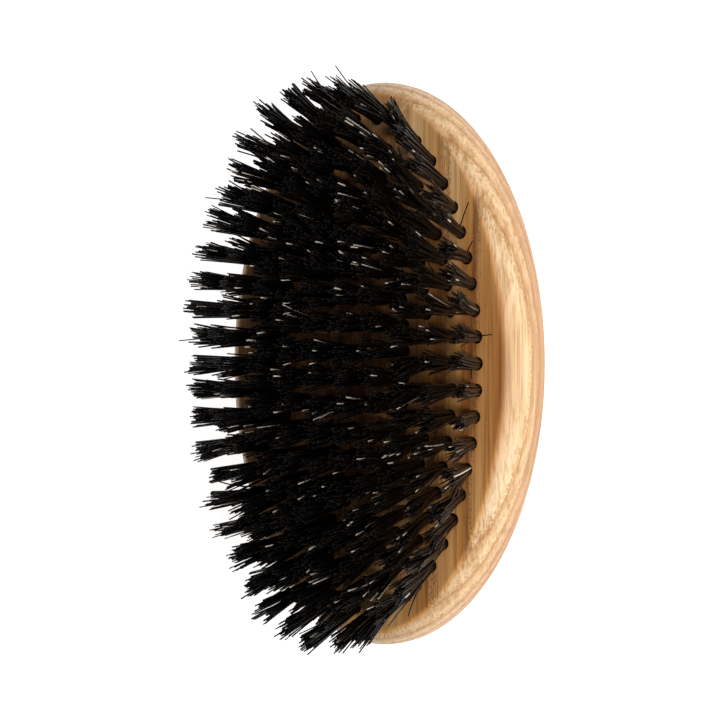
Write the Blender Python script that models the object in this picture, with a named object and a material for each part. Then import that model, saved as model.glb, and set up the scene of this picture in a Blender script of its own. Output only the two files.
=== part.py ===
"""Oval palm brush for beards: a one-piece ash body, drilled on its flat face, and boar bristle tufts.

The brush lies on its domed back with the bristles up. +X runs along its length, +Y across it and
+Z from the back to the bristle tips. The origin is under the middle of the body, on the small land
that the back rests on.

The tufts stand in five concentric ovals. Every tuft sits in its own blind hole, and both lean
outwards, more so towards the rim. The trimmed tips of neighbouring tufts mingle, so each solid of
bristle is one arc of tufts that grow together near the top.
"""

import math

import bmesh
import bpy
import numpy as np
from mathutils import Vector

LENGTH = 0.110
WIDTH = 0.067
THICKNESS = 0.024
FACE_LENGTH = 0.1045
FACE_WIDTH = 0.0596
WAIST_DEPTH = 0.0062
CREASE_ANGLE = math.radians(22)
EDGE_STEPS = 4
BACK_STEPS = 7
BACK_FULLNESS = 2.5
LAND_SHARE = 0.17
BODY_SIDES = 56

BRISTLE_HEIGHT = 0.0172
OVAL_LENGTHS = (0.0954, 0.0850, 0.0744, 0.0634, 0.0480)
OVAL_WIDTHS = (0.0490, 0.0384, 0.0278, 0.0170, 0.0060)
OVAL_COUNTS = (46, 40, 35, 28, 20)
OVAL_SHIFTS = (0.0, 0.0, 0.0, 0.5, 0.5)
OVAL_EXPONENTS = (2.0, 2.0, 2.0, 2.1, 3.0)
OVAL_ARCS = (8, 8, 7, 5, 4)
LEAN_LENGTHWISE = math.radians(19)
LEAN_SIDEWAYS = math.radians(17)
LEAN_GROWTH = 1.2

TUFT_SIDES = 6
HOLE_SIDES = 6
TUFT_RADIUS = 0.00105
HOLE_RADIUS = 0.00158
HOLE_DEPTH = 0.0070
MOUTH_HEIGHT = 0.0008
MIDDLE_HEIGHT = 0.0104
MIDDLE_SPLAY = 0.00140
TIP_SPLAY = 0.00175
MINGLE = 0.00025
GAP = 0.0003
CUT_OVERRUN = 0.0010


def clear_scene():
    for obj in list(bpy.data.objects):
        bpy.data.objects.remove(obj, do_unlink=True)


def principled(name, colour, roughness, metallic=0.0):
    material = bpy.data.materials.new(name)
    material.use_nodes = True
    shader = material.node_tree.nodes["Principled BSDF"]
    shader.inputs["Base Color"].default_value = (*colour, 1.0)
    shader.inputs["Roughness"].default_value = roughness
    shader.inputs["Metallic"].default_value = metallic
    material.diffuse_color = (*colour, 1.0)
    return material


def object_from(bm, name, material, parent, location=(0.0, 0.0, 0.0)):
    """Puts the mesh into the scene as one object, with smooth rounds and crisp edges."""
    bmesh.ops.recalc_face_normals(bm, faces=bm.faces)
    mesh = bpy.data.meshes.new(name)
    bm.to_mesh(mesh)
    bm.free()
    mesh.shade_smooth()
    mesh.set_sharp_from_angle(angle=math.radians(40))
    mesh.materials.append(material)
    obj = bpy.data.objects.new(name, mesh)
    obj.location = location
    obj.parent = parent
    bpy.context.scene.collection.objects.link(obj)
    return obj


def hide_helper(obj):
    obj.hide_render = True
    obj.display_type = "WIRE"


def boolean(obj, helper, operation):
    modifier = obj.modifiers.new(operation.title(), "BOOLEAN")
    modifier.operation = operation
    modifier.solver = "EXACT"
    modifier.object = helper


def body_levels():
    """(height, half length, half width) of the body's cross-sections, from the face to the land."""
    start = math.sin(CREASE_ANGLE)
    levels = []
    for step in range(EDGE_STEPS + 1):
        angle = CREASE_ANGLE + (math.pi / 2 - CREASE_ANGLE) * step / EDGE_STEPS
        out = (math.sin(angle) - start) / (1 - start)
        depth = WAIST_DEPTH * (1 - math.cos(angle) / math.cos(CREASE_ANGLE))
        half_length = (FACE_LENGTH + (LENGTH - FACE_LENGTH) * out) / 2
        half_width = (FACE_WIDTH + (WIDTH - FACE_WIDTH) * out) / 2
        levels.append((THICKNESS - depth, half_length, half_width))
    power = 2 / BACK_FULLNESS
    last = math.acos(LAND_SHARE ** (1 / power))
    for step in range(1, BACK_STEPS + 1):
        angle = last * step / BACK_STEPS
        share = math.cos(angle) ** power
        fall = (math.sin(angle) / math.sin(last)) ** power
        height = (THICKNESS - WAIST_DEPTH) * (1 - fall)
        levels.append((height, LENGTH / 2 * share, WIDTH / 2 * share))
    return levels


def extrude_sections(bm, sections):
    """Builds one closed solid: a flat first section, extruded from each section to the next."""
    ring = bmesh.ops.create_circle(bm, cap_ends=True, segments=len(sections[0]), radius=1.0)["verts"]
    face = ring[0].link_faces[0]
    for vert, point in zip(ring, sections[0]):
        vert.co = point
    for number, section in enumerate(sections[1:]):
        grown = bmesh.ops.extrude_face_region(bm, geom=[face])
        if number:
            bmesh.ops.delete(bm, geom=[face], context="FACES_ONLY")
        face = next(item for item in grown["geom"] if isinstance(item, bmesh.types.BMFace))
        copies = {tuple(vert.co): vert for vert in face.verts}
        ring = [copies[tuple(vert.co)] for vert in ring]
        for vert, point in zip(ring, section):
            vert.co = point


def make_body(parent):
    turns = [math.tau * side / BODY_SIDES for side in range(BODY_SIDES)]
    sections = [
        [Vector((half_length * math.cos(turn), half_width * math.sin(turn), height)) for turn in turns]
        for height, half_length, half_width in body_levels()
    ]
    bm = bmesh.new()
    extrude_sections(bm, sections)
    return object_from(bm, "wood_body", principled("ash", (0.60, 0.40, 0.21), 0.45), parent)


def oval_points(number):
    """The hole mouths of one oval, evenly spaced along it, starting on the -Y side."""
    half_length = OVAL_LENGTHS[number] / 2
    half_width = OVAL_WIDTHS[number] / 2
    power = 2 / OVAL_EXPONENTS[number]
    turn = np.linspace(0, math.tau, 1441)
    along, across = np.sin(turn), -np.cos(turn)
    x = half_length * np.sign(along) * np.abs(along) ** power
    y = half_width * np.sign(across) * np.abs(across) ** power
    walked = np.concatenate([[0.0], np.cumsum(np.hypot(np.diff(x), np.diff(y)))])
    count = OVAL_COUNTS[number]
    stations = (np.arange(count) + OVAL_SHIFTS[number]) * walked[-1] / count
    return list(zip(np.interp(stations, walked, x), np.interp(stations, walked, y)))


def lean_at(x, y):
    """The way a tuft rises from its hole, as a step of one unit of height."""
    steps = []
    for place, reach, most in (
        (x, OVAL_LENGTHS[0] / 2, LEAN_LENGTHWISE),
        (y, OVAL_WIDTHS[0] / 2, LEAN_SIDEWAYS),
    ):
        share = place / reach
        steps.append(math.tan(most * math.copysign(abs(share) ** LEAN_GROWTH, share)))
    return Vector((steps[0], steps[1], 1.0))


class Tuft:
    """Where one tuft stands, how it leans and where its neighbours in the oval are."""

    def __init__(self, x, y):
        self.mouth = Vector((x, y, THICKNESS))
        self.lean = lean_at(x, y)
        self.tip = self.mouth + self.lean * BRISTLE_HEIGHT

    def section(self, height, along, behind, ahead, across, sides):
        """Points round the tuft's axis, with flats turned ahead and behind along its oval."""
        centre = self.mouth + self.lean * height
        sideways = Vector((-along.y, along.x, 0.0))
        flat = math.cos(math.pi / sides)
        points = []
        for side in range(sides):
            angle = math.tau * (side + 0.5) / sides
            reach = (ahead if math.cos(angle) > 0 else behind) / flat
            points.append(
                centre + along * (reach * math.cos(angle)) + sideways * (across * math.sin(angle))
            )
        return points


def make_tufts():
    """All the tufts, oval by oval."""
    return [[Tuft(x, y) for x, y in oval_points(number)] for number in range(len(OVAL_COUNTS))]


def add_tuft(bm, tuft, before, after, joined_before, joined_after):
    """One tuft: a round shank in the hole, splaying into a tip that reaches its neighbours' tips."""
    along = after.tip - before.tip
    along.z = 0.0
    along.normalize()
    half_behind = (tuft.tip - before.tip).length / 2
    half_ahead = (after.tip - tuft.tip).length / 2
    tip_behind = half_behind + (MINGLE if joined_before else -MINGLE)
    tip_ahead = half_ahead + (MINGLE if joined_after else -MINGLE)
    foot = GAP - HOLE_DEPTH
    radius = TUFT_RADIUS
    sections = [
        tuft.section(foot, along, radius, radius, radius, TUFT_SIDES),
        tuft.section(MOUTH_HEIGHT, along, radius, radius, radius, TUFT_SIDES),
        tuft.section(MIDDLE_HEIGHT, along, MIDDLE_SPLAY, MIDDLE_SPLAY, MIDDLE_SPLAY, TUFT_SIDES),
        tuft.section(BRISTLE_HEIGHT, along, tip_behind, tip_ahead, TIP_SPLAY, TUFT_SIDES),
    ]
    extrude_sections(bm, sections)


def make_arcs(tufts, parent):
    """Each oval's tufts as a few arcs: every second tuft, united with the ones between them."""
    bristle = principled("boar_bristle", (0.012, 0.010, 0.010), 0.38)
    for number, oval in enumerate(tufts):
        arcs = OVAL_ARCS[number]
        bounds = [round(len(oval) * arc / arcs) for arc in range(arcs + 1)]
        for arc, (first, end) in enumerate(zip(bounds, bounds[1:])):
            meshes = (bmesh.new(), bmesh.new())
            for index in range(first, end):
                before = oval[index - 1]
                after = oval[(index + 1) % len(oval)]
                add_tuft(
                    meshes[(index - first) % 2], oval[index], before, after, index > first, index < end - 1
                )
            middle = oval[(first + end) // 2].mouth
            for bm in meshes:
                bmesh.ops.translate(bm, verts=bm.verts, vec=-middle)
            name = f"tufts_oval{number + 1}_arc{arc + 1}"
            obj = object_from(meshes[0], name, bristle, parent, middle)
            between = object_from(meshes[1], f"between_{name}", bristle, parent, middle)
            hide_helper(between)
            boolean(obj, between, "UNION")


def drill_holes(body, tufts, parent):
    """Cuts a blind hole under every tuft, along the tuft's own lean."""
    bm = bmesh.new()
    along = Vector((1.0, 0.0, 0.0))
    radius = HOLE_RADIUS
    for tuft in [tuft for oval in tufts for tuft in oval]:
        extrude_sections(
            bm,
            [
                tuft.section(-HOLE_DEPTH, along, radius, radius, radius, HOLE_SIDES),
                tuft.section(CUT_OVERRUN, along, radius, radius, radius, HOLE_SIDES),
            ],
        )
    drill = object_from(bm, "drill_bits", body.active_material, parent)
    hide_helper(drill)
    boolean(body, drill, "DIFFERENCE")


def main():
    clear_scene()
    brush = bpy.data.objects.new("brush", None)
    bpy.context.scene.collection.objects.link(brush)
    tufts = make_tufts()
    body = make_body(brush)
    drill_holes(body, tufts, brush)
    make_arcs(tufts, brush)


main()
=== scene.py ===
"""The finished look of an oval beard brush: an ash body, its bristle tufts and their wire anchors.

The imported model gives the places. The brush lies on its domed back with the bristles up: +X runs
along its length, +Y across it and +Z from the back to the bristle tips.
"""

import math

import bmesh
import bpy
import numpy as np
from bpy.props import (
    FloatProperty,
    FloatVectorProperty,
    IntProperty,
    PointerProperty,
)
from mathutils import Matrix, Vector


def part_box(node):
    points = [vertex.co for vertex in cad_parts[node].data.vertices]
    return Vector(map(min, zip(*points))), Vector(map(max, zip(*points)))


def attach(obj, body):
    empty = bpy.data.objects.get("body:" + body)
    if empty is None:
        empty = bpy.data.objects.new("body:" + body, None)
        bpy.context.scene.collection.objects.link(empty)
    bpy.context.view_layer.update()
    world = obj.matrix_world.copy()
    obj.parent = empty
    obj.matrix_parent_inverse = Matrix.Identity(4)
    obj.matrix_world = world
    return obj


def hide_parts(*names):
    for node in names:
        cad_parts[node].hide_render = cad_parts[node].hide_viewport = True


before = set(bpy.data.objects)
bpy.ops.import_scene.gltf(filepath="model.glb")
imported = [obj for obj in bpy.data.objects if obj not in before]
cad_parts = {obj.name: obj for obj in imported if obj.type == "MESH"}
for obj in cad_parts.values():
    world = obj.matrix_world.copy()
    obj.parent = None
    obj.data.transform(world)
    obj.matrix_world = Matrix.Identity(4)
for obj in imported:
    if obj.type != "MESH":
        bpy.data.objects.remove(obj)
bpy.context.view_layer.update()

bl_info = {
    "name": "Beard Brush Finish",
    "version": (1, 0, 0),
    "blender": (4, 5, 0),
    "location": "3D View > Sidebar > Brush",
    "description": "Builds the wood, bristles and anchors of an oval beard brush",
    "category": "Object",
}

WOOD_LOW, WOOD_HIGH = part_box("wood_body")
FACE_Z = WOOD_HIGH.z
BODY_LENGTH = WOOD_HIGH.x - WOOD_LOW.x
BODY_WIDTH = WOOD_HIGH.y - WOOD_LOW.y
BRISTLE_TOP = max(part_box(name)[1].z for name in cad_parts) - FACE_Z

# The drilling: five ovals, numbered from the rim inwards.
OVAL_LENGTHS = (0.0954, 0.0850, 0.0744, 0.0634, 0.0480)
OVAL_WIDTHS = (0.0490, 0.0384, 0.0278, 0.0170, 0.0060)
OVAL_COUNTS = (46, 40, 35, 28, 20)
OVAL_SHIFTS = (0.0, 0.0, 0.0, 0.5, 0.5)
OVAL_EXPONENTS = (2.0, 2.0, 2.0, 2.1, 3.0)
OVAL_ARCS = (8, 8, 7, 5, 4)
LEAN_LENGTHWISE = math.radians(19)
LEAN_SIDEWAYS = math.radians(17)
LEAN_GROWTH = 1.2


class BrushBody(bpy.types.PropertyGroup):
    """Sizes of the shaped and drilled wood."""

    face_length: FloatProperty(
        name="Face length", description="Length of the flat drilled face", default=0.1045, unit="LENGTH"
    )
    face_width: FloatProperty(
        name="Face width", description="Width of the flat drilled face", default=0.0596, unit="LENGTH"
    )
    waist_depth: FloatProperty(
        name="Waist depth", description="From the face to the widest line", default=0.0062, unit="LENGTH"
    )
    crease_angle: FloatProperty(
        name="Crease angle",
        description="How steeply the rounded edge leaves the face",
        default=math.radians(22),
        subtype="ANGLE",
    )
    rim_softness: FloatProperty(
        name="Rim softness", description="Width of the sanded rim", default=0.00028, unit="LENGTH"
    )
    back_fullness: FloatProperty(
        name="Back fullness", description="2 is an ellipse, more is fuller", default=2.5
    )
    land_share: FloatProperty(
        name="Land share", description="Width of the flat land on the back", default=0.17, subtype="FACTOR"
    )
    hole_radius: FloatProperty(
        name="Hole radius", description="Radius of each drilled hole", default=0.00128, unit="LENGTH"
    )
    hole_depth: FloatProperty(
        name="Hole depth", description="Depth of each blind hole", default=0.0070, unit="LENGTH"
    )
    mouth_flare: FloatProperty(
        name="Mouth flare", description="Width of the bevel round a hole", default=0.00012, unit="LENGTH"
    )


class BrushBristles(bpy.types.PropertyGroup):
    """Sizes of the bristles and how they stand."""

    per_tuft: IntProperty(name="Bristles in a tuft", description="Ends that show in one tuft", default=56)
    radius: FloatProperty(
        name="Bristle radius", description="Radius of a bristle at its root", default=0.000174, unit="LENGTH"
    )
    tuft_radius: FloatProperty(
        name="Tuft radius", description="Radius of a tuft at its hole", default=0.00102, unit="LENGTH"
    )
    tip_radius: FloatProperty(
        name="Tip radius", description="Radius of a tuft at its tips", default=0.00198, unit="LENGTH"
    )
    inner_spread: FloatProperty(
        name="Inner spread", description="How much wider the tips inside the outer oval open", default=1.20
    )
    unevenness: FloatProperty(
        name="Unevenness", description="How much shorter bristles may be", default=0.0046, unit="LENGTH"
    )
    scatter: FloatProperty(
        name="Scatter", description="How far a tip strays from its tuft", default=0.00030, unit="LENGTH"
    )
    clump_scatter: FloatProperty(
        name="Clump scatter", description="How far the clumps in a tuft part", default=0.00048, unit="LENGTH"
    )
    tuft_scatter: FloatProperty(
        name="Tuft scatter", description="How far a whole tuft's tip is off", default=0.00062, unit="LENGTH"
    )
    pale_share: FloatProperty(
        name="Pale share", description="Share of undyed bristles", default=0.010, subtype="FACTOR"
    )
    # Bristles whose pale end is a painted glint.
    glint_end_share: FloatProperty(
        name="Pale end share",
        description="Share of bristles with only a pale end",
        default=0.022,
        subtype="FACTOR",
    )
    seed: IntProperty(name="Seed", description="Seed of the random spread", default=11)


class BrushColours(bpy.types.PropertyGroup):
    """Colours of the wood, the bristle and the wire."""

    late_wood: FloatVectorProperty(
        name="Late wood", description="The pale part of a ring", default=(0.82, 0.60, 0.37), subtype="COLOR"
    )
    honey_wood: FloatVectorProperty(
        name="Honey wood", description="The end of a ring", default=(0.70, 0.435, 0.21), subtype="COLOR"
    )
    early_wood: FloatVectorProperty(
        name="Early wood", description="The start of a ring", default=(0.50, 0.275, 0.115), subtype="COLOR"
    )
    pore: FloatVectorProperty(
        name="Pore", description="The open pores", default=(0.30, 0.145, 0.055), subtype="COLOR"
    )
    bristle: FloatVectorProperty(
        name="Bristle", description="Most bristles", default=(0.0045, 0.0044, 0.0048), subtype="COLOR"
    )
    brown_bristle: FloatVectorProperty(
        name="Brown bristle", description="The browner ones", default=(0.018, 0.0105, 0.0078), subtype="COLOR"
    )
    pale_bristle: FloatVectorProperty(
        name="Pale bristle", description="The undyed ones", default=(0.72, 0.63, 0.51), subtype="COLOR"
    )
    wire: FloatVectorProperty(
        name="Wire", description="The anchors", default=(0.72, 0.70, 0.64), subtype="COLOR"
    )


class BrushStage(bpy.types.PropertyGroup):
    """The floor, the light and the camera."""

    tilt: FloatProperty(
        name="Tilt",
        description="Camera's tilt from straight above",
        default=math.radians(31.5),
        subtype="ANGLE",
    )
    distance: FloatProperty(
        name="Distance", description="Camera to the drilled face", default=0.5, unit="LENGTH"
    )
    lens: FloatProperty(name="Lens", description="Focal length in millimetres", default=128.9)
    floor: FloatVectorProperty(
        name="Floor", description="Colour of the floor", default=(0.92, 0.92, 0.92), subtype="COLOR"
    )
    sky: FloatProperty(name="Sky", description="Strength of the light from all round", default=0.09)
    glow: FloatProperty(name="Floor glow", description="Light that the white board gives", default=0.85)
    side_light: FloatProperty(name="Side light", description="Power of the side softbox", default=5.0)
    top_light: FloatProperty(name="Top light", description="Power of the top softbox", default=2.0)
    spark: FloatProperty(name="Spark", description="Power of the small hard light", default=0.5)


# ---------------------------------------------------------------- shader nodes


class Nodes:
    """Adds nodes to one tree and links them."""

    def __init__(self, tree):
        self.tree = tree

    def add(self, kind, inputs=None, **settings):
        node = self.tree.nodes.new(kind)
        for name, value in settings.items():
            setattr(node, name, value)
        for socket, value in (inputs or {}).items():
            self.feed(node.inputs[socket], value)
        return node

    def feed(self, socket, value):
        if isinstance(value, bpy.types.NodeSocket):
            self.tree.links.new(value, socket)
        else:
            socket.default_value = value

    def math(self, operation, first, second=0.0, clamp=False):
        node = self.add("ShaderNodeMath", {0: first, 1: second}, operation=operation, use_clamp=clamp)
        return node.outputs[0]

    def vector(self, operation, first, second=(0.0, 0.0, 0.0)):
        node = self.add("ShaderNodeVectorMath", {0: first, 1: second}, operation=operation)
        return node.outputs["Value" if operation == "LENGTH" else "Vector"]

    def between(self, value, low, high, to_low=0.0, to_high=1.0):
        """A smooth step from to_low to to_high while value goes from low to high."""
        node = self.add(
            "ShaderNodeMapRange",
            {"Value": value, "From Min": low, "From Max": high, "To Min": to_low, "To Max": to_high},
            interpolation_type="SMOOTHSTEP",
        )
        return node.outputs["Result"]

    def mix(self, factor, first, second, blend="MIX"):
        sockets = {0: factor, 6: first, 7: second}
        node = self.add("ShaderNodeMix", sockets, data_type="RGBA", blend_type=blend)
        return node.outputs[2]

    def noise(self, vector, scale, detail=2.0, roughness=0.5):
        return self.add(
            "ShaderNodeTexNoise",
            {"Vector": vector, "Scale": scale, "Detail": detail, "Roughness": roughness},
        )

    def ramp(self, factor, stops):
        node = self.add("ShaderNodeValToRGB", {"Fac": factor})
        elements = node.color_ramp.elements
        elements[0].position, elements[0].color = stops[0][0], (*stops[0][1], 1.0)
        elements[1].position, elements[1].color = stops[-1][0], (*stops[-1][1], 1.0)
        for position, colour in stops[1:-1]:
            elements.new(position).color = (*colour, 1.0)
        return node.outputs["Color"]

    def group(self, tree, inputs):
        node = self.add("ShaderNodeGroup")
        node.node_tree = tree
        for name, value in inputs.items():
            self.feed(node.inputs[name], value)
        return node.outputs


def new_group(name, inputs, outputs):
    """An empty node group with its sockets, and the nodes at its two ends."""
    tree = bpy.data.node_groups.new(name, "ShaderNodeTree")
    for socket_name, kind, default in inputs:
        socket = tree.interface.new_socket(socket_name, in_out="INPUT", socket_type=f"NodeSocket{kind}")
        if default is not None:
            socket.default_value = default
    for socket_name, kind in outputs:
        tree.interface.new_socket(socket_name, in_out="OUTPUT", socket_type=f"NodeSocket{kind}")
    nodes = Nodes(tree)
    return tree, nodes, nodes.add("NodeGroupInput").outputs, nodes.add("NodeGroupOutput").inputs


# How the rings stray: how far each wave is drawn out along the grain, its scale and its share.
RING_WANDERS = ((0.30, 30.0, 1.0), (0.30, 260.0, 0.14), (0.045, 1500.0, 0.30))
RING_TILT = math.radians(0.9)
RING_OFFSET = 0.0015


def growth_rings_group():
    """Rings about a trunk axis that runs along +X, below the piece."""
    tree, nodes, given, made = new_group(
        "growth_rings",
        [
            ("Vector", "Vector", None),
            ("Spacing", "Float", 0.0015),
            ("Depth", "Float", 0.06),
            ("Phase", "Float", 0.0),
            ("Wander", "Float", 0.002),
        ],
        [("Position", "Float"), ("Tone", "Float"), ("Early", "Float")],
    )
    place = given["Vector"]
    for stretch, scale, share in RING_WANDERS:
        drawn_out = nodes.vector("MULTIPLY", given["Vector"], (stretch, 1.0, 1.0))
        wave = nodes.vector("SUBTRACT", nodes.noise(drawn_out, scale).outputs["Color"], (0.5, 0.5, 0.5))
        amount = nodes.math("MULTIPLY", given["Wander"], share)
        shift = nodes.add("ShaderNodeVectorMath", {0: wave, "Scale": amount}, operation="SCALE")
        place = nodes.vector("ADD", place, shift.outputs[0])
    turned = nodes.add("ShaderNodeMapping", {"Vector": place, "Rotation": (0.0, RING_TILT, 0.0)})
    apart = nodes.add("ShaderNodeSeparateXYZ", {0: turned.outputs[0]})
    flat = nodes.add(
        "ShaderNodeCombineXYZ",
        {
            "Y": nodes.math("SUBTRACT", apart.outputs["Y"], RING_OFFSET),
            "Z": nodes.math("ADD", apart.outputs["Z"], given["Depth"]),
        },
    )
    radius = nodes.vector("LENGTH", flat.outputs[0])
    years = nodes.math("DIVIDE", radius, given["Spacing"])
    wide = nodes.add("ShaderNodeTexNoise", {"W": years, "Scale": 0.45, "Detail": 1.0}, noise_dimensions="1D")
    years = nodes.math("ADD", years, nodes.math("MULTIPLY", wide.outputs["Fac"], 0.6))
    years = nodes.math("ADD", years, given["Phase"])
    position = nodes.math("FRACT", years)
    number = nodes.math("FLOOR", years)
    tone = nodes.add("ShaderNodeTexWhiteNoise", {"W": number}, noise_dimensions="1D")
    early = nodes.between(position, 0.12, 0.36, 1.0, 0.0)
    nodes.feed(made["Position"], position)
    nodes.feed(made["Tone"], tone.outputs["Value"])
    nodes.feed(made["Early"], nodes.math("MULTIPLY", early, nodes.between(position, 0.0, 0.03)))
    return tree


def open_pores_group():
    """Long fine vessels: dots on a cut across the grain, dashes along it."""
    tree, nodes, given, made = new_group(
        "open_pores",
        [
            ("Vector", "Vector", None),
            ("Width", "Float", 0.0004),
            ("Length", "Float", 0.007),
            ("Amount", "Float", 0.5),
        ],
        [("Pores", "Float")],
    )
    apart = nodes.add("ShaderNodeSeparateXYZ", {0: given["Vector"]})
    cells = nodes.add(
        "ShaderNodeCombineXYZ",
        {
            "X": nodes.math("DIVIDE", apart.outputs["X"], given["Length"]),
            "Y": nodes.math("DIVIDE", apart.outputs["Y"], given["Width"]),
            "Z": nodes.math("DIVIDE", apart.outputs["Z"], given["Width"]),
        },
    )
    vessel = nodes.add("ShaderNodeTexVoronoi", {"Vector": cells.outputs[0], "Scale": 1.0})
    chance = nodes.add("ShaderNodeSeparateColor", {0: vessel.outputs["Color"]})
    present = nodes.between(nodes.math("SUBTRACT", given["Amount"], chance.outputs["Red"]), -0.02, 0.06)
    round_one = nodes.between(vessel.outputs["Distance"], 0.26, 0.52, 1.0, 0.0)
    nodes.feed(made["Pores"], nodes.math("MULTIPLY", present, round_one))
    return tree


def fibre_group():
    """Fine streaks along one direction, from 0 to 1."""
    tree, nodes, given, made = new_group(
        "fibre_streaks",
        [("Vector", "Vector", None), ("Stretch", "Vector", (0.02, 1.0, 1.0)), ("Scale", "Float", 1500.0)],
        [("Streaks", "Float"), ("Clouds", "Float")],
    )
    drawn = nodes.vector("MULTIPLY", given["Vector"], given["Stretch"])
    streaks = nodes.noise(drawn, given["Scale"], 4.0, 0.6)
    clouds = nodes.noise(drawn, nodes.math("MULTIPLY", given["Scale"], 0.12), 2.0)
    nodes.feed(made["Streaks"], nodes.between(streaks.outputs["Fac"], 0.33, 0.67))
    nodes.feed(made["Clouds"], nodes.between(clouds.outputs["Fac"], 0.3, 0.7))
    return tree


def handling_group():
    """Where hands have rubbed: soft patches that change the gloss."""
    tree, nodes, given, made = new_group(
        "handling", [("Vector", "Vector", None), ("Scale", "Float", 60.0)], [("Rubbed", "Float")]
    )
    patches = nodes.noise(given["Vector"], given["Scale"], 3.0, 0.55)
    nodes.feed(made["Rubbed"], nodes.between(patches.outputs["Fac"], 0.35, 0.68))
    return tree


def shared_group(name, maker):
    return bpy.data.node_groups.get(name) or maker()


def new_material(name):
    """A material with its Principled BSDF, ready for nodes."""
    material = bpy.data.materials.new(name)
    material.use_nodes = True
    shader = material.node_tree.nodes["Principled BSDF"]
    return material, Nodes(material.node_tree), shader


def object_place(nodes):
    return nodes.add("ShaderNodeTexCoord").outputs["Object"]


# Tints that multiply the wood's colour, and the colour of a pore on the rounded side. The lower-side tint is
# painted shade; the face and middle-of-face tints are partly painted shade and partly the face's deeper tone.
YEAR_TINTS = ((0.0, (0.95, 0.90, 0.84)), (0.5, (1.0, 0.99, 0.97)), (1.0, (1.06, 1.04, 1.02)))
FACE_SHADE_AND_VEIN_TINTS = ((0.0, (1.12, 0.88, 0.56)), (0.35, (0.94, 0.68, 0.39)), (1.0, (0.58, 0.36, 0.175)))
FINE_STREAK = (0.72, 0.60, 0.46)
COARSE_STREAK = (0.78, 0.66, 0.51)
BETWEEN_STREAKS = ((0.40, (0.96, 0.94, 0.91)), (1.0, (1.06, 1.05, 1.04)))
LOWER_SIDE_SHADE_TINT = (0.66, 0.51, 0.35, 1.0)
MIDDLE_SHADE_AND_TONE_TINT = (0.64, 0.50, 0.37, 1.0)
SIDE_PORE = (0.46, 0.235, 0.09, 1.0)


def ash_colour(nodes, place, colours, rings, fibres, pores):
    """The wood's colour: years, streaks, painted shade on the lower side, a deeper face that is partly
    painted shade, then the pores.
    """
    late, honey, early = tuple(colours.late_wood), tuple(colours.honey_wood), tuple(colours.early_wood)
    one_year = [(0.0, early), (0.07, honey), (0.16, late), (0.52, late), (0.88, honey), (1.0, early)]
    colour = nodes.ramp(rings["Position"], one_year)
    colour = nodes.mix(1.0, colour, nodes.ramp(rings["Tone"], YEAR_TINTS), "MULTIPLY")
    coarse = nodes.group(
        shared_group("fibre_streaks", fibre_group),
        {"Vector": place, "Stretch": (0.022, 1.0, 1.0), "Scale": 760.0},
    )
    for streaks, darkest in ((fibres["Streaks"], FINE_STREAK), (coarse["Streaks"], COARSE_STREAK)):
        tint = nodes.ramp(streaks, ((0.0, darkest), *BETWEEN_STREAKS))
        colour = nodes.mix(1.0, colour, tint, "MULTIPLY")
    colour = nodes.mix(nodes.math("MULTIPLY", coarse["Clouds"], 0.30), colour, (*honey, 1.0))
    apart = nodes.add("ShaderNodeSeparateXYZ", {0: place}).outputs
    # Painted shade: the rounded side is tinted darker towards the back, from about 2 mm below the face.
    low = nodes.between(apart["Z"], FACE_Z - 0.0110, FACE_Z - 0.0022, 1.0, 0.0)
    colour = nodes.mix(low, colour, LOWER_SIDE_SHADE_TINT, "MULTIPLY")
    # The face's deeper, warmer tone is partly painted shade from the bristles and partly darker early wood;
    # the painted shade is weaker towards +X.
    face_tone_and_shade = nodes.between(apart["Z"], FACE_Z - 0.0006, FACE_Z - 0.0001)
    face_tone_and_shade = nodes.math("MULTIPLY", face_tone_and_shade, nodes.between(apart["X"], 0.018, 0.048, 1.0, 0.5))
    vein = nodes.math("MULTIPLY", rings["Early"], nodes.between(coarse["Streaks"], 0.0, 0.8, 1.0, 0.35))
    colour = nodes.mix(face_tone_and_shade, colour, nodes.ramp(vein, FACE_SHADE_AND_VEIN_TINTS), "MULTIPLY")
    # Painted shade, with a deeper wood tone: the middle of the face's length is tinted darker.
    from_middle = nodes.math("ABSOLUTE", apart["X"])
    middle_shade_and_tone = nodes.math("MULTIPLY", face_tone_and_shade, nodes.between(from_middle, 0.008, 0.038, 0.75, 0.0))
    colour = nodes.mix(middle_shade_and_tone, colour, MIDDLE_SHADE_AND_TONE_TINT, "MULTIPLY")
    # The face's pores are darker than the side's, along with the face's painted shade.
    pore = nodes.mix(face_tone_and_shade, SIDE_PORE, (*colours.pore, 1.0))
    return nodes.mix(nodes.math("MULTIPLY", pores, 0.82), colour, pore)


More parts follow.
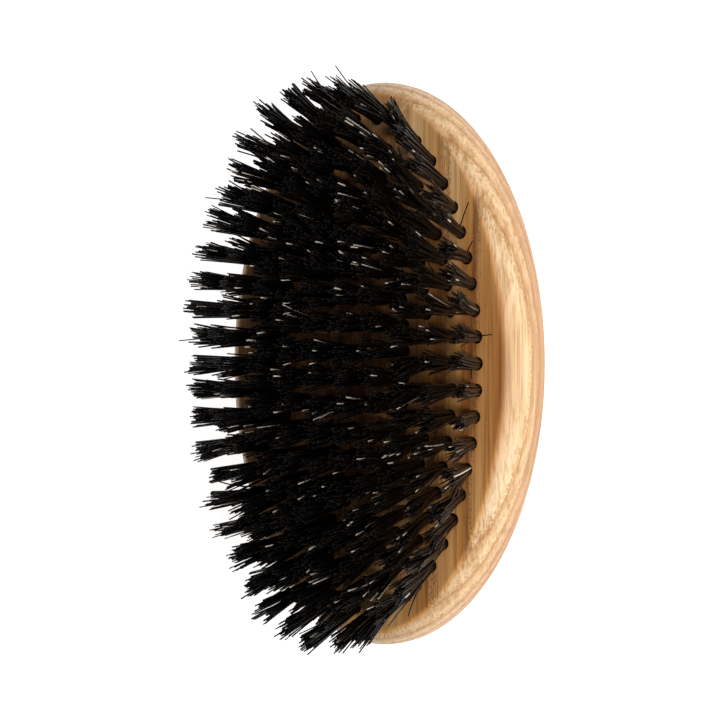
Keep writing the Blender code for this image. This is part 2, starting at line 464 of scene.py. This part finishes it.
def ash_material(colours):
    """Oiled ash: rings, rows of open pores, fibres, and a deeper tone on the flat face that is partly painted
    shade.
    """
    material, nodes, shader = new_material("oiled_ash")
    place = object_place(nodes)
    rings = nodes.group(
        shared_group("growth_rings", growth_rings_group),
        {"Vector": place, "Spacing": 0.00260, "Depth": 0.0330, "Phase": 0.85, "Wander": 0.0024},
    )
    fibres = nodes.group(
        shared_group("fibre_streaks", fibre_group),
        {"Vector": place, "Stretch": (0.016, 1.0, 1.0), "Scale": 2400.0},
    )
    amount = nodes.between(rings["Early"], 0.05, 0.6, 0.03, 1.05)
    pores = nodes.group(
        shared_group("open_pores", open_pores_group),
        {"Vector": place, "Width": 0.00031, "Length": 0.00085, "Amount": amount},
    )["Pores"]
    rubbed = nodes.group(
        shared_group("handling", handling_group), {"Vector": place, "Scale": 55.0}
    )["Rubbed"]
    nodes.feed(shader.inputs["Base Color"], ash_colour(nodes, place, colours, rings, fibres, pores))
    rough = nodes.math("ADD", 0.50, nodes.math("MULTIPLY", pores, 0.25))
    rough = nodes.math("SUBTRACT", rough, nodes.math("MULTIPLY", rubbed, 0.09))
    rough = nodes.math("ADD", rough, nodes.math("MULTIPLY", fibres["Streaks"], 0.06))
    nodes.feed(shader.inputs["Roughness"], rough)
    relief = nodes.math("SUBTRACT", nodes.math("MULTIPLY", fibres["Streaks"], 0.22), pores)
    bump = nodes.add("ShaderNodeBump", {"Strength": 0.55, "Distance": 0.00006, "Height": relief})
    nodes.feed(shader.inputs["Normal"], bump.outputs[0])
    shader.inputs["Coat Weight"].default_value = 0.10
    shader.inputs["Coat Roughness"].default_value = 0.34
    return material


CUT_END = (0.05, 0.04, 0.032, 1.0)


def bristle_material(colours):
    """Dyed boar bristle: near black, a little brown, a few undyed, with paler cut ends."""
    material, nodes, shader = new_material("dyed_bristle")
    shade = nodes.add("ShaderNodeAttribute", attribute_name="shade").outputs["Fac"]
    along = nodes.add("ShaderNodeAttribute", attribute_name="along").outputs["Fac"]
    fibres = nodes.group(
        shared_group("fibre_streaks", fibre_group),
        {"Vector": object_place(nodes), "Stretch": (1.0, 1.0, 0.12), "Scale": 5200.0},
    )
    dark, brown, pale = tuple(colours.bristle), tuple(colours.brown_bristle), tuple(colours.pale_bristle)
    colour = nodes.ramp(shade, [(0.0, dark), (0.62, dark), (0.90, brown)])
    root = nodes.between(along, 0.26, 0.62, 0.40, 0.0)
    colour = nodes.mix(root, colour, (*brown, 1.0))
    end = nodes.between(along, 0.985, 0.998, 0.0, 0.35)
    colour = nodes.mix(end, colour, CUT_END)
    # Painted glints: the pale end of a few bristles.
    glint_end = nodes.math("MULTIPLY", nodes.between(shade, 0.945, 0.955), nodes.between(along, 0.88, 0.91))
    undyed = nodes.math("MAXIMUM", glint_end, nodes.between(shade, 0.97, 0.99))
    colour = nodes.mix(undyed, colour, (*pale, 1.0))
    shine = nodes.ramp(fibres["Streaks"], [(0.0, (0.72, 0.72, 0.72)), (1.0, (1.1, 1.1, 1.1))])
    colour = nodes.mix(1.0, colour, shine, "MULTIPLY")
    nodes.feed(shader.inputs["Base Color"], colour)
    rough = nodes.math("ADD", 0.26, nodes.math("MULTIPLY", fibres["Streaks"], 0.13))
    nodes.feed(shader.inputs["Roughness"], nodes.math("ADD", rough, nodes.math("MULTIPLY", end, 0.4)))
    bump = nodes.add(
        "ShaderNodeBump", {"Strength": 0.25, "Distance": 0.00001, "Height": fibres["Streaks"]}
    )
    nodes.feed(shader.inputs["Normal"], bump.outputs[0])
    shader.inputs["Specular IOR Level"].default_value = 0.20
    return material


def wire_material(colours):
    """Drawn flat wire, tinned, with fine draw lines."""
    material, nodes, shader = new_material("anchor_wire")
    fibres = nodes.group(
        shared_group("fibre_streaks", fibre_group),
        {"Vector": object_place(nodes), "Stretch": (1.0, 0.1, 1.0), "Scale": 4200.0},
    )
    bright = tuple(colours.wire)
    dull = tuple(0.6 * value for value in bright)
    nodes.feed(shader.inputs["Base Color"], nodes.ramp(fibres["Streaks"], [(0.0, dull), (1.0, bright)]))
    nodes.feed(shader.inputs["Roughness"], nodes.between(fibres["Clouds"], 0.0, 1.0, 0.28, 0.46))
    shader.inputs["Metallic"].default_value = 1.0
    bump = nodes.add(
        "ShaderNodeBump", {"Strength": 0.2, "Distance": 0.00001, "Height": fibres["Streaks"]}
    )
    nodes.feed(shader.inputs["Normal"], bump.outputs[0])
    return material


def floor_material(colour, glow):
    """Matt white board with the faintest mottling."""
    material, nodes, shader = new_material("white_board")
    clouds = nodes.noise(object_place(nodes), 6.0, 2.0).outputs["Fac"]
    dimmer = tuple(0.985 * value for value in colour)
    nodes.feed(shader.inputs["Base Color"], nodes.ramp(clouds, [(0.3, dimmer), (0.7, tuple(colour))]))
    shader.inputs["Roughness"].default_value = 0.9
    shader.inputs["Specular IOR Level"].default_value = 0.1
    shader.inputs["Emission Color"].default_value = (1.0, 1.0, 1.0, 1.0)
    shader.inputs["Emission Strength"].default_value = glow
    return material


# ---------------------------------------------------------------- layout and meshes


class Tuft:
    """Where one tuft leaves the face, and the step it takes per unit of height."""

    def __init__(self, x, y):
        self.mouth = Vector((x, y, FACE_Z))
        steps = []
        for place, reach, most in (
            (x, OVAL_LENGTHS[0] / 2, LEAN_LENGTHWISE),
            (y, OVAL_WIDTHS[0] / 2, LEAN_SIDEWAYS),
        ):
            share = place / reach
            steps.append(math.tan(most * math.copysign(abs(share) ** LEAN_GROWTH, share)))
        self.lean = Vector((steps[0], steps[1], 1.0))

    def frame(self):
        """Shears a shape that stands on the origin so that it leans from this tuft's hole."""
        leaning = Matrix.Identity(4)
        leaning.col[2][0] = self.lean.x
        leaning.col[2][1] = self.lean.y
        return Matrix.Translation(self.mouth) @ leaning


def oval_tufts(number):
    """The tufts of one oval, evenly spaced along it from the -Y side."""
    half_length = OVAL_LENGTHS[number] / 2
    half_width = OVAL_WIDTHS[number] / 2
    power = 2 / OVAL_EXPONENTS[number]
    turn = np.linspace(0, math.tau, 1441)
    along, across = np.sin(turn), -np.cos(turn)
    x = half_length * np.sign(along) * np.abs(along) ** power
    y = half_width * np.sign(across) * np.abs(across) ** power
    walked = np.concatenate([[0.0], np.cumsum(np.hypot(np.diff(x), np.diff(y)))])
    count = OVAL_COUNTS[number]
    stations = (np.arange(count) + OVAL_SHIFTS[number]) * walked[-1] / count
    return [Tuft(*point) for point in zip(np.interp(stations, walked, x), np.interp(stations, walked, y))]


def new_object(bm, name, material, smooth_below):
    """Puts a bmesh into the scene as one object at the origin."""
    mesh = bpy.data.meshes.new(name)
    bm.to_mesh(mesh)
    bm.free()
    mesh.shade_smooth()
    mesh.set_sharp_from_angle(angle=smooth_below)
    mesh.materials.append(material)
    obj = bpy.data.objects.new(name, mesh)
    bpy.context.scene.collection.objects.link(obj)
    return obj


def template_mesh(bm, name):
    mesh = bpy.data.meshes.new(name)
    bm.to_mesh(mesh)
    bm.free()
    return mesh


def append_copy(bm, template, matrix):
    """Adds one copy of a template mesh to a bmesh, moved by the matrix."""
    before = len(bm.verts)
    bm.from_mesh(template)
    bm.verts.ensure_lookup_table()
    bmesh.ops.transform(bm, matrix=matrix, verts=bm.verts[before:])


def apply_modifiers(obj):
    """Swaps the object's mesh for the one that its modifiers make."""
    graph = bpy.context.evaluated_depsgraph_get()
    finished = bpy.data.meshes.new_from_object(obj.evaluated_get(graph), depsgraph=graph)
    obj.modifiers.clear()
    obj.data = finished


EDGE_STEPS = 9
BACK_STEPS = 26
BODY_SIDES = 208
WOOD_CREASE = math.radians(32)


def body_levels(body):
    """(height, half length, half width) of the body's cross-sections, from the face to the land."""
    start = math.sin(body.crease_angle)
    levels = []
    for step in range(EDGE_STEPS + 1):
        angle = body.crease_angle + (math.pi / 2 - body.crease_angle) * step / EDGE_STEPS
        out = (math.sin(angle) - start) / (1 - start)
        depth = body.waist_depth * (1 - math.cos(angle) / math.cos(body.crease_angle))
        half_length = (body.face_length + (BODY_LENGTH - body.face_length) * out) / 2
        half_width = (body.face_width + (BODY_WIDTH - body.face_width) * out) / 2
        levels.append((FACE_Z - depth, half_length, half_width))
    power = 2 / body.back_fullness
    last = math.acos(body.land_share ** (1 / power))
    for step in range(1, BACK_STEPS + 1):
        angle = last * step / BACK_STEPS
        share = math.cos(angle) ** power
        fall = (math.sin(angle) / math.sin(last)) ** power
        height = (FACE_Z - body.waist_depth) * (1 - fall)
        levels.append((height, BODY_LENGTH / 2 * share, BODY_WIDTH / 2 * share))
    return levels


def body_bmesh(body):
    """The solid body: an oval face, extruded and scaled from level to level, with a sanded rim."""
    levels = body_levels(body)
    bm = bmesh.new()
    ring = bmesh.ops.create_circle(bm, cap_ends=True, segments=BODY_SIDES, radius=1.0)["verts"]
    top = face = ring[0].link_faces[0]
    height, half_length, half_width = levels[0]
    bmesh.ops.scale(bm, vec=(half_length, half_width, 1.0), verts=ring)
    bmesh.ops.translate(bm, vec=(0.0, 0.0, height), verts=ring)
    for number, (new_height, new_length, new_width) in enumerate(levels[1:]):
        grown = bmesh.ops.extrude_face_region(bm, geom=[face])["geom"]
        if number:
            bmesh.ops.delete(bm, geom=[face], context="FACES_ONLY")
        face = next(item for item in grown if isinstance(item, bmesh.types.BMFace))
        verts = list(face.verts)
        bmesh.ops.scale(bm, vec=(new_length / half_length, new_width / half_width, 1.0), verts=verts)
        bmesh.ops.translate(bm, vec=(0.0, 0.0, new_height - height), verts=verts)
        height, half_length, half_width = new_height, new_length, new_width
    rim = list(top.edges)
    bmesh.ops.bevel(
        bm, geom=rim, offset=body.rim_softness, affect="EDGES", segments=3, profile=0.5, material=-1
    )
    bmesh.ops.recalc_face_normals(bm, faces=bm.faces)
    top = max(bm.faces, key=lambda item: len(item.verts) * (item.normal.z > 0.99))
    bmesh.ops.inset_individual(bm, faces=[top], thickness=body.rim_softness)
    return bm


def drill_template(body):
    """One drill bit, from the hole's bottom to above the face, with a flare at the mouth."""
    bm = bmesh.new()
    above = 0.001
    depth = body.hole_depth + above
    bmesh.ops.create_cone(
        bm, cap_ends=True, segments=12, radius1=body.hole_radius, radius2=body.hole_radius, depth=depth
    )
    bmesh.ops.translate(bm, vec=(0.0, 0.0, above - depth / 2), verts=bm.verts)
    for height in (0.0, -body.mouth_flare):
        bmesh.ops.bisect_plane(
            bm, geom=bm.verts[:] + bm.edges[:] + bm.faces[:], plane_co=(0, 0, height), plane_no=(0, 0, 1)
        )
    wide = 1 + body.mouth_flare / body.hole_radius
    upper = [vert for vert in bm.verts if vert.co.z > -body.mouth_flare / 2]
    bmesh.ops.scale(bm, vec=(wide, wide, 1.0), verts=upper)
    bmesh.ops.recalc_face_normals(bm, faces=bm.faces)
    return template_mesh(bm, "drill_bit")


def build_wood_body(context):
    scene = context.scene
    body = scene.brush_body
    material = ash_material(scene.brush_colours)
    wood = new_object(body_bmesh(body), "brush_body_ash", material, WOOD_CREASE)
    template = drill_template(body)
    bits = bmesh.new()
    for number in range(len(OVAL_COUNTS)):
        for tuft in oval_tufts(number):
            append_copy(bits, template, tuft.frame())
    drill = new_object(bits, "drill_bits", wood.active_material, WOOD_CREASE)
    cut = wood.modifiers.new("Holes", "BOOLEAN")
    cut.operation = "DIFFERENCE"
    cut.solver = "EXACT"
    cut.object = drill
    apply_modifiers(wood)
    bpy.data.objects.remove(drill, do_unlink=True)
    bpy.data.meshes.remove(template)
    wood.data.set_sharp_from_angle(angle=WOOD_CREASE)
    wood.data.name = "brush_body_ash"
    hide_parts("wood_body")
    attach(wood, "root")


# A bristle's shade: dyed up to the deepest one, then a pale end painted as a glint, or pale all along.
MOST_DYED = 0.93
GLINT_END = 0.96
PALE = 1.0
BRISTLE_SIDES = 5
BRISTLE_CUTS = 5
BRISTLE_CREASE = math.radians(80)
BRISTLE_TAPER = 0.22
FOOT_CLEARANCE = 0.0005
TIP_CLEARANCE = 0.0001
TUFT_UNEVENNESS = 0.0008
ROOT_JITTER = 0.06
CLUMPS = 6
WILD_SHARE = 0.05
WILD_REACH = 3.0
OPENING = 1.3
BOWING = 1.8


def bristle_template():
    """One straight bristle of unit size: its Z is the share of the way to the tip."""
    bm = bmesh.new()
    bmesh.ops.create_cone(
        bm, cap_ends=True, segments=BRISTLE_SIDES, radius1=1.0, radius2=1.0, depth=1.0
    )
    bmesh.ops.translate(bm, vec=(0.0, 0.0, 0.5), verts=bm.verts)
    upright = [edge for edge in bm.edges if abs(edge.verts[0].co.z - edge.verts[1].co.z) > 0.5]
    bmesh.ops.subdivide_edges(bm, edges=upright, cuts=BRISTLE_CUTS)
    bmesh.ops.recalc_face_normals(bm, faces=bm.faces)
    return template_mesh(bm, "bristle")


def tuft_spread(count):
    """Even places in a unit circle, as seeds stand in a flower head."""
    number = np.arange(count) + 0.5
    radius = np.sqrt(number / count)
    angle = number * math.pi * (3 - math.sqrt(5))
    return np.stack([radius * np.cos(angle), radius * np.sin(angle)], axis=1)


def bristle_paths(tuft, bristles, body, random):
    """Where the bristles of one tuft start, where each one ends, and how it bows and shades."""
    count = bristles.per_tuft
    spread = tuft_spread(count)
    turn = random.uniform(0, math.tau)
    cosine, sine = math.cos(turn), math.sin(turn)
    spread = spread @ np.array([[cosine, sine], [-sine, cosine]])
    spread = spread + random.normal(0, ROOT_JITTER, (count, 2))
    shorter = random.beta(1.1, 3.0, count) * bristles.unevenness + random.uniform(0, TUFT_UNEVENNESS)
    wander = random.normal(0, bristles.scatter, (count, 2))
    wild = random.uniform(size=count) < WILD_SHARE
    wander[wild] *= WILD_REACH
    round_tuft = np.arctan2(spread[:, 1], spread[:, 0]) / math.tau + 0.5
    clump = (round_tuft * (CLUMPS - 0.001)).astype(int)
    wander += random.normal(0, bristles.clump_scatter, (CLUMPS, 2))[clump]
    sag = random.normal(0, bristles.tuft_scatter, 2)
    shade = random.uniform(0, MOST_DYED, count)
    rim_pull = np.linalg.norm(spread, axis=1)
    # A few bristles get a pale end that is a painted glint.
    shade[random.uniform(size=count) < bristles.glint_end_share] = GLINT_END
    shade[random.uniform(size=count) < bristles.pale_share * (0.4 + rim_pull)] = PALE
    thickness = bristles.radius * random.uniform(0.80, 1.16, count)
    top = BRISTLE_TOP - TIP_CLEARANCE - shorter
    foot = np.full(count, FOOT_CLEARANCE - body.hole_depth)
    return spread, wander + sag, top, foot, shade, thickness


def bristles_object(name, tufts, tip_radius, scene, template, material, random):
    """All the bristles of some tufts as one mesh: template copies, then bent along their paths."""
    bristles = scene.brush_bristles
    count = bristles.per_tuft
    unit = np.empty(len(template.vertices) * 3)
    template.vertices.foreach_get("co", unit)
    unit = unit.reshape(-1, 3)
    share = unit[:, 2]
    bm = bmesh.new()
    points, along, shades = [], [], []
    for tuft in tufts:
        spread, wander, top, foot, shade, thickness = bristle_paths(tuft, bristles, scene.brush_body, random)
        for _ in range(count):
            bm.from_mesh(template)
        height = foot[:, None] + (top - foot)[:, None] * share[None, :]
        rise = np.clip(height / BRISTLE_TOP, 0, 1)
        reach = bristles.tuft_radius + (tip_radius - bristles.tuft_radius) * rise**OPENING
        bowed = spread[:, None, :] * reach[:, :, None] + wander[:, None, :] * (rise**BOWING)[:, :, None]
        girth = thickness[:, None] * (1.0 - BRISTLE_TAPER * rise**2)
        mouth = np.array(tuft.mouth)
        lean = np.array(tuft.lean)
        place = mouth + lean * height[:, :, None]
        place[:, :, :2] += bowed + unit[None, :, :2] * girth[:, :, None]
        points.append(place.reshape(-1, 3))
        along.append(np.tile(share, count))
        shades.append(np.repeat(shade, len(share)))
    obj = new_object(bm, name, material, BRISTLE_CREASE)
    mesh = obj.data
    mesh.vertices.foreach_set("co", np.concatenate(points).astype(np.float32).ravel())
    add_point_values(mesh, "along", np.concatenate(along))
    add_point_values(mesh, "shade", np.concatenate(shades))
    mesh.update()
    return obj


def add_point_values(mesh, name, values):
    """Stores one number for each point, which the material reads."""
    layer = mesh.attributes.new(name, "FLOAT", "POINT")
    layer.data.foreach_set("value", values.astype(np.float32))


def face_outwards(mesh):
    """Turns every closed hair so that its faces point outwards."""
    bm = bmesh.new()
    bm.from_mesh(mesh)
    bmesh.ops.recalc_face_normals(bm, faces=bm.faces)
    bm.to_mesh(mesh)
    bm.free()
    mesh.update()


def build_bristles(context):
    scene = context.scene
    material = bristle_material(scene.brush_colours)
    template = bristle_template()
    bristles = scene.brush_bristles
    random = np.random.default_rng(bristles.seed)
    for number, arcs in enumerate(OVAL_ARCS):
        tufts = oval_tufts(number)
        tip_radius = bristles.tip_radius * (bristles.inner_spread if number else 1.0)
        bounds = [round(len(tufts) * arc / arcs) for arc in range(arcs + 1)]
        for arc, (first, end) in enumerate(zip(bounds, bounds[1:])):
            place = f"oval{number + 1}_arc{arc + 1}"
            obj = bristles_object(
                f"bristles_{place}", tufts[first:end], tip_radius, scene, template, material, random
            )
            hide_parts(f"tufts_{place}")
            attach(obj, "root")
    bpy.data.meshes.remove(template)


# Hairs that have strayed: oval, tuft, and how far the tip is from the hole, in millimetres.
STRAY_HAIRS = (
    (0, 1, (0.4, -5.0, 3.0)),
    (0, 4, (3.0, -2.6, 2.2)),
    (0, 5, (5.5, -3.2, 2.4)),
    (0, 22, (-0.6, 9.0, 15.6)),
    (0, 17, (2.5, 7.6, 16.0)),
    (0, 28, (-3.0, 7.2, 16.2)),
    (0, 42, (-4.2, -2.4, 6.0)),
    (0, 0, (-2.8, -3.0, 7.5)),
    (0, 45, (-1.5, -4.4, 11.0)),
    (0, 12, (8.0, 0.5, 15.0)),
    (1, 38, (-3.5, -2.5, 10.0)),
    (1, 3, (4.5, -1.0, 9.0)),
    (1, 19, (1.0, 6.8, 16.4)),
)


HAIR_FOOT = 0.0060
HAIR_TAPER = 0.35


def hair_line(tuft, tip, shares):
    """The middle line of a hair from the foot of its hole to a tip that has strayed."""
    mouth_share = 1 / (BRISTLE_CUTS + 1)
    inside = np.clip(1 - shares / mouth_share, 0, 1)[:, None]
    outside = np.clip((shares - mouth_share) / (1 - mouth_share), 0, 1)[:, None]
    lean = np.array(tuft.lean)
    tip = np.array(tip) / 1000
    first = lean * tip[2] * 0.7
    bent = 2 * outside * (1 - outside) * first + outside**2 * tip
    return np.array(tuft.mouth) + bent - lean * HAIR_FOOT * inside


def build_stray_hairs(context):
    scene = context.scene
    template = bristle_template()
    unit = np.array([vert.co for vert in template.vertices])
    shares = np.linspace(0, 1, BRISTLE_CUTS + 2)
    level = np.rint(unit[:, 2] * (BRISTLE_CUTS + 1)).astype(int)
    bm = bmesh.new()
    points = []
    for oval, number, tip in STRAY_HAIRS:
        bm.from_mesh(template)
        line = hair_line(oval_tufts(oval)[number], tip, shares)
        ahead = np.gradient(line, axis=0)
        side = np.cross(ahead, (1.0, 0.2, 0.1))
        side /= np.linalg.norm(side, axis=1)[:, None]
        other = np.cross(ahead, side)
        other /= np.linalg.norm(other, axis=1)[:, None]
        girth = scene.brush_bristles.radius * (1 - HAIR_TAPER * unit[:, 2])[:, None]
        points.append(line[level] + girth * (unit[:, :1] * side[level] + unit[:, 1:2] * other[level]))
    material = bpy.data.materials["dyed_bristle"]
    obj = new_object(bm, "stray_hairs", material, BRISTLE_CREASE)
    mesh = obj.data
    mesh.vertices.foreach_set("co", np.concatenate(points).astype(np.float32).ravel())
    add_point_values(mesh, "along", np.tile(unit[:, 2], len(STRAY_HAIRS)))
    add_point_values(mesh, "shade", np.repeat(np.linspace(0.3, 0.9, len(STRAY_HAIRS)), len(unit)))
    face_outwards(mesh)
    bpy.data.meshes.remove(template)
    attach(obj, "root")


WIRE_THICKNESS = 0.00035
WIRE_HEIGHT = 0.0011
WIRE_BITE = 0.0003
WIRE_ROUND = 0.00008
WIRE_ABOVE_BOTTOM = 0.00075
WIRE_CREASE = math.radians(30)


def anchor_template(body):
    """A short length of flat wire, wedged across the bottom of a hole."""
    bm = bmesh.new()
    bmesh.ops.create_cube(bm, size=1.0)
    size = (2 * body.hole_radius + WIRE_BITE, WIRE_THICKNESS, WIRE_HEIGHT)
    bmesh.ops.scale(bm, vec=size, verts=bm.verts)
    bmesh.ops.bevel(
        bm, geom=bm.edges[:], offset=WIRE_ROUND, affect="EDGES", segments=1, profile=0.5, material=-1
    )
    bmesh.ops.translate(bm, vec=(0.0, 0.0, WIRE_ABOVE_BOTTOM - body.hole_depth), verts=bm.verts)
    bmesh.ops.recalc_face_normals(bm, faces=bm.faces)
    return template_mesh(bm, "anchor")


def build_anchors(context):
    scene = context.scene
    material = wire_material(scene.brush_colours)
    template = anchor_template(scene.brush_body)
    for number in range(len(OVAL_COUNTS)):
        bm = bmesh.new()
        for tuft in oval_tufts(number):
            append_copy(bm, template, tuft.frame())
        obj = new_object(bm, f"anchors_oval{number + 1}", material, WIRE_CREASE)
        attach(obj, "root")
    bpy.data.meshes.remove(template)


def aim(obj, at, up):
    """Turns an object so that its -Z looks at a point with its Y towards up."""
    back = (obj.location - at).normalized()
    right = up.cross(back).normalized()
    top = back.cross(right)
    turn = Matrix((right, top, back)).transposed()
    obj.rotation_euler = turn.to_euler()


def add_softbox(name, location, at, size, power):
    light = bpy.data.lights.new(name, "AREA")
    light.shape = "DISK"
    light.size = size
    light.energy = power
    obj = bpy.data.objects.new(name, light)
    obj.location = location
    bpy.context.scene.collection.objects.link(obj)
    aim(obj, at, Vector((1.0, 0.0, 0.0)))


FLOOR_RADIUS = 4.0
SOFTBOX_WIDTHS = {"side_softbox": 0.50, "top_softbox": 0.40, "spark_light": 0.05}
SOFTBOX_PLACES = {
    "side_softbox": (-0.20, -0.80, 0.34),
    "top_softbox": (0.45, -0.45, 0.75),
    "spark_light": (-0.10, -0.45, 0.55),
}
# How far the middle of the view is from the middle of the face.
VIEW_LEFT = 0.00116
VIEW_UP = 0.00068


def build_stage(context):
    scene = context.scene
    stage = scene.brush_stage
    bm = bmesh.new()
    bmesh.ops.create_circle(bm, cap_ends=True, segments=64, radius=FLOOR_RADIUS)
    floor = new_object(bm, "floor", floor_material(stage.floor, stage.glow), math.radians(30))

    world = bpy.data.worlds.new("white_room")
    world.use_nodes = True
    background = world.node_tree.nodes["Background"]
    background.inputs["Color"].default_value = (1.0, 1.0, 1.0, 1.0)
    background.inputs["Strength"].default_value = stage.sky
    scene.world = world
    scene.view_settings.view_transform = "Standard"

    middle = Vector((0.0, 0.0, FACE_Z))
    powers = (stage.side_light, stage.top_light, stage.spark)
    for (name, place), power in zip(SOFTBOX_PLACES.items(), powers):
        add_softbox(name, Vector(place), middle, SOFTBOX_WIDTHS[name], power)

    right = Vector((0.0, -math.cos(stage.tilt), -math.sin(stage.tilt)))
    back = Vector((0.0, -math.sin(stage.tilt), math.cos(stage.tilt)))
    up = Vector((1.0, 0.0, 0.0))
    target = middle - right * VIEW_LEFT + up * VIEW_UP
    camera_data = bpy.data.cameras.new("camera")
    camera_data.sensor_width = 36.0
    camera_data.lens = stage.lens
    camera_data.clip_start = 0.01
    camera = bpy.data.objects.new("camera", camera_data)
    camera.location = target + back * stage.distance
    turned = Matrix((right, up, back)).transposed().to_4x4()
    camera.matrix_world = Matrix.Translation(camera.location) @ turned
    scene.collection.objects.link(camera)
    scene.camera = camera


# ---------------------------------------------------------------- operators and panel


class BRUSH_OT_wood_body(bpy.types.Operator):
    """Builds the drilled ash body"""

    bl_idname = "brush.wood_body"
    bl_label = "Build Wood Body"

    def execute(self, context):
        build_wood_body(context)
        return {"FINISHED"}


class BRUSH_OT_anchors(bpy.types.Operator):
    """Builds the flat-wire anchors at the bottoms of the holes"""

    bl_idname = "brush.anchors"
    bl_label = "Build Anchors"

    def execute(self, context):
        build_anchors(context)
        return {"FINISHED"}


class BRUSH_OT_bristles(bpy.types.Operator):
    """Builds the bristle tufts, one mesh for each arc of an oval"""

    bl_idname = "brush.bristles"
    bl_label = "Build Bristles"

    def execute(self, context):
        build_bristles(context)
        return {"FINISHED"}


class BRUSH_OT_stray_hairs(bpy.types.Operator):
    """Builds the few hairs that stand out of line; the bristles come first"""

    bl_idname = "brush.stray_hairs"
    bl_label = "Build Stray Hairs"

    def execute(self, context):
        build_stray_hairs(context)
        return {"FINISHED"}


class BRUSH_OT_stage(bpy.types.Operator):
    """Builds the floor, the lights and the camera"""

    bl_idname = "brush.stage"
    bl_label = "Build Stage"

    def execute(self, context):
        build_stage(context)
        return {"FINISHED"}


OPERATORS = (
    BRUSH_OT_wood_body,
    BRUSH_OT_anchors,
    BRUSH_OT_bristles,
    BRUSH_OT_stray_hairs,
    BRUSH_OT_stage,
)


class VIEW3D_PT_brush(bpy.types.Panel):
    """Sidebar panel with the sizes, the colours and the build steps"""

    bl_label = "Beard Brush"
    bl_idname = "VIEW3D_PT_brush"
    bl_space_type = "VIEW_3D"
    bl_region_type = "UI"
    bl_category = "Brush"

    def draw(self, context):
        layout = self.layout
        for group in GROUPS:
            settings = getattr(context.scene, group)
            box = layout.box()
            for name in settings.bl_rna.properties.keys():
                if name not in ("rna_type", "name"):
                    box.prop(settings, name)
        for operator in OPERATORS:
            layout.operator(operator.bl_idname)


GROUPS = {
    "brush_body": BrushBody,
    "brush_bristles": BrushBristles,
    "brush_colours": BrushColours,
    "brush_stage": BrushStage,
}
CLASSES = (*GROUPS.values(), *OPERATORS, VIEW3D_PT_brush)


def register():
    for item in CLASSES:
        bpy.utils.register_class(item)
    for name, group in GROUPS.items():
        setattr(bpy.types.Scene, name, PointerProperty(type=group))


def unregister():
    for name in GROUPS:
        delattr(bpy.types.Scene, name)
    for item in reversed(CLASSES):
        bpy.utils.unregister_class(item)


def main():
    register()
    bpy.ops.brush.wood_body()
    bpy.ops.brush.anchors()
    bpy.ops.brush.bristles()
    bpy.ops.brush.stray_hairs()
    bpy.ops.brush.stage()


if __name__ == "__main__":
    main()
